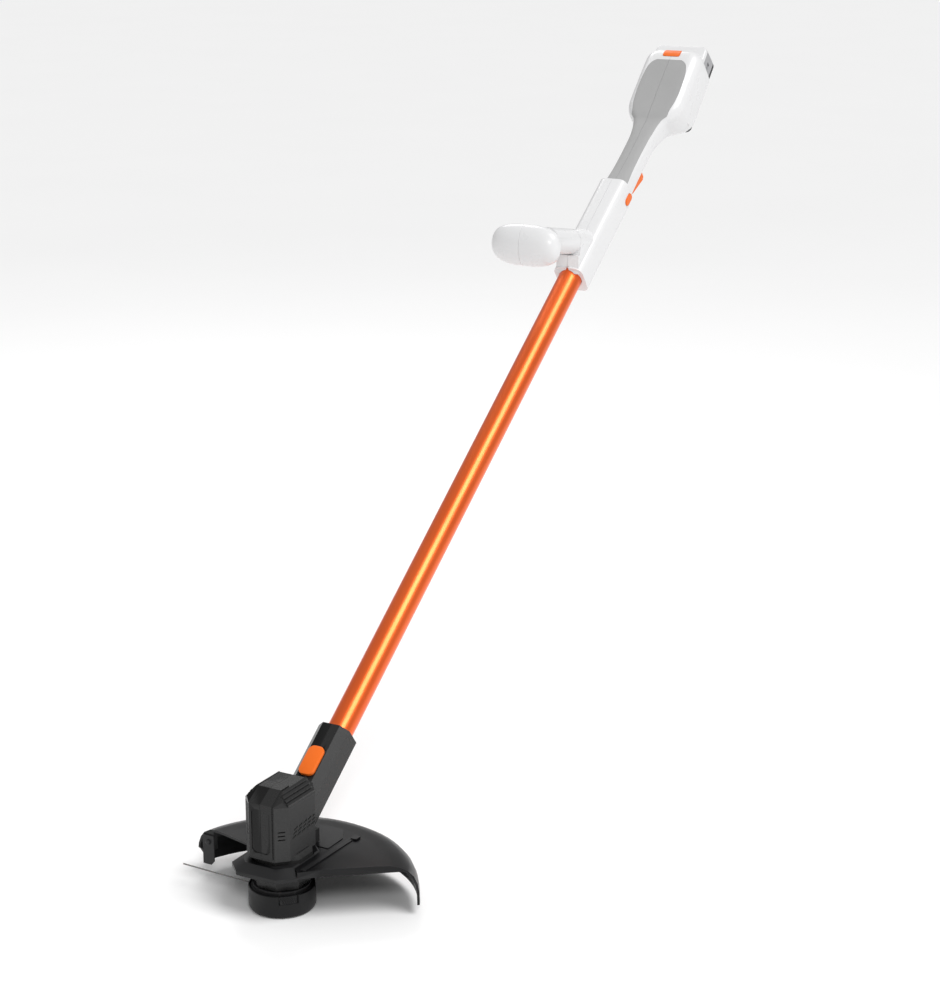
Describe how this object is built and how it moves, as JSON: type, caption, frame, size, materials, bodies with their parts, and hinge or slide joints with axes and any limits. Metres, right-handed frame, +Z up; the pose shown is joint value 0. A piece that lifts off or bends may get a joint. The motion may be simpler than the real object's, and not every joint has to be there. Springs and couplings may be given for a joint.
{
  "type": "string trimmer edger",
  "caption": "Cordless line trimmer and edger: turning motor head with line spool and guard, straight tube shaft, auxiliary handle and rear handle with slide-on battery.",
  "frame": {"origin": "on the spool axis at the flat bottom of the spool cap", "axes": "+Z up along the spool axis, +X back towards the user along the ground, Y across; XZ is the plane of symmetry of the shells"},
  "size_m": [1.0816, 0.2695, 0.8426],
  "materials": {
    "black_plastic": "semi-gloss moulded, grained on the side panels",
    "white_plastic": "satin moulded shell",
    "soft_grip": "matt soft overmould",
    "grey_plastic": "fine texture",
    "mid_grey_plastic": "plain moulded",
    "orange_plastic": "satin moulded",
    "orange_tube": "satin powder coat",
    "nylon_line": "drawn nylon",
    "circuit_board": "lacquered board",
    "cell_wrap": "shrink sleeve",
    "lens": "translucent lens",
    "steel": "plain steel"
  },
  "bodies": {
    "handle": {"terminal_block": "black_plastic", "control_board": "circuit_board", "battery_release_spring": "steel", "shaft_tube": "orange_tube", "swivel_bush": "mid_grey_plastic", "power_lead": "black_plastic", "handle_shell_left": "white_plastic", "handle_shell_right": "white_plastic", "handle_screw_1": "steel", "handle_screw_2": "steel", "handle_screw_3": "steel", "grip_pad_left": "soft_grip", "grip_pad_right": "soft_grip", "trigger_pin": "steel", "trigger_spring": "steel", "trigger_switch": "mid_grey_plastic", "lock_off_spring": "steel", "auxiliary_handle": "white_plastic", "auxiliary_end_cap": "white_plastic"},
    "head": {"head_shell_left": "black_plastic", "head_shell_right": "black_plastic", "head_screw_1": "steel", "head_screw_2": "steel", "motor": "steel", "motor_bracket": "mid_grey_plastic", "shaft_bearing": "steel", "debris_guard": "black_plastic", "line_cutter": "steel", "cutter_screw": "steel", "guard_screw_1": "steel", "guard_screw_2": "steel", "head_release_spring": "steel"},
    "spool": {"motor_shaft": "steel", "cooling_fan": "black_plastic", "spool_base": "black_plastic", "spool_cap": "black_plastic", "line_spool": "mid_grey_plastic", "wound_line": "nylon_line", "spool_spring": "steel", "line_eyelet": "steel", "cutting_line": "nylon_line"},
    "cap_latch_1": {"cap_latch_1": "black_plastic"},
    "cap_latch_2": {"cap_latch_2": "black_plastic"},
    "head_release": {"head_release_button": "orange_plastic"},
    "trigger": {"trigger": "orange_plastic"},
    "lock_off": {"lock_off_button": "orange_plastic"},
    "battery_release": {"battery_release_button": "orange_plastic"},
    "battery": {"battery_frame": "grey_plastic", "battery_cover_upper": "white_plastic", "battery_cover_lower": "black_plastic", "battery_cell_1": "cell_wrap", "battery_cell_2": "cell_wrap", "battery_cell_3": "cell_wrap", "battery_cell_4": "cell_wrap", "battery_cell_5": "cell_wrap", "charge_port": "steel", "charge_light_bar": "lens"}
  },
  "joints": [
    {"name": "head_turn", "type": "hinge", "parent": "handle", "child": "head", "pos_m": [0, 0, 0.069], "axis": [0.7986, 0, 0.6018], "range_deg": [0, 180]},
    {"name": "spool_spin", "type": "hinge", "parent": "head", "child": "spool", "pos_m": [0, 0, 0.03], "axis": [0, 0, 1], "continuous": true},
    {"name": "cap_latch_1_press", "type": "slide", "parent": "spool", "child": "cap_latch_1", "axis": [0.7071, 0.7071, 0], "range_m": [0, 0.0015], "stiffness_N_per_m": 2000, "springref_m": -0.001},
    {"name": "cap_latch_2_press", "type": "slide", "parent": "spool", "child": "cap_latch_2", "axis": [-0.7071, -0.7071, 0], "range_m": [0, 0.0015], "stiffness_N_per_m": 2000, "springref_m": -0.001},
    {"name": "head_release_press", "type": "slide", "parent": "head", "child": "head_release", "axis": [0.6018, 0, -0.7986], "range_m": [0, 0.002], "stiffness_N_per_m": 1500, "springref_m": -0.002},
    {"name": "trigger_squeeze", "type": "hinge", "parent": "handle", "child": "trigger", "pos_m": [0.82424, 0, 0.67007], "axis": [0, -1, 0], "range_deg": [0, 10], "stiffness_Nm_per_rad": 1, "springref_deg": -8.59},
    {"name": "lock_off_press", "type": "slide", "parent": "handle", "child": "lock_off", "axis": [0, 1, 0], "range_m": [0, 0.003], "stiffness_N_per_m": 1000, "springref_m": -0.002},
    {"name": "battery_release_press", "type": "slide", "parent": "handle", "child": "battery_release", "axis": [0.7408, 0, -0.6717], "range_m": [0, 0.0025], "stiffness_N_per_m": 1500, "springref_m": -0.002},
    {"name": "battery_slide", "type": "slide", "parent": "handle", "child": "battery", "axis": [0.6717, 0, 0.7408], "range_m": [0, 0.11]}
  ]
}
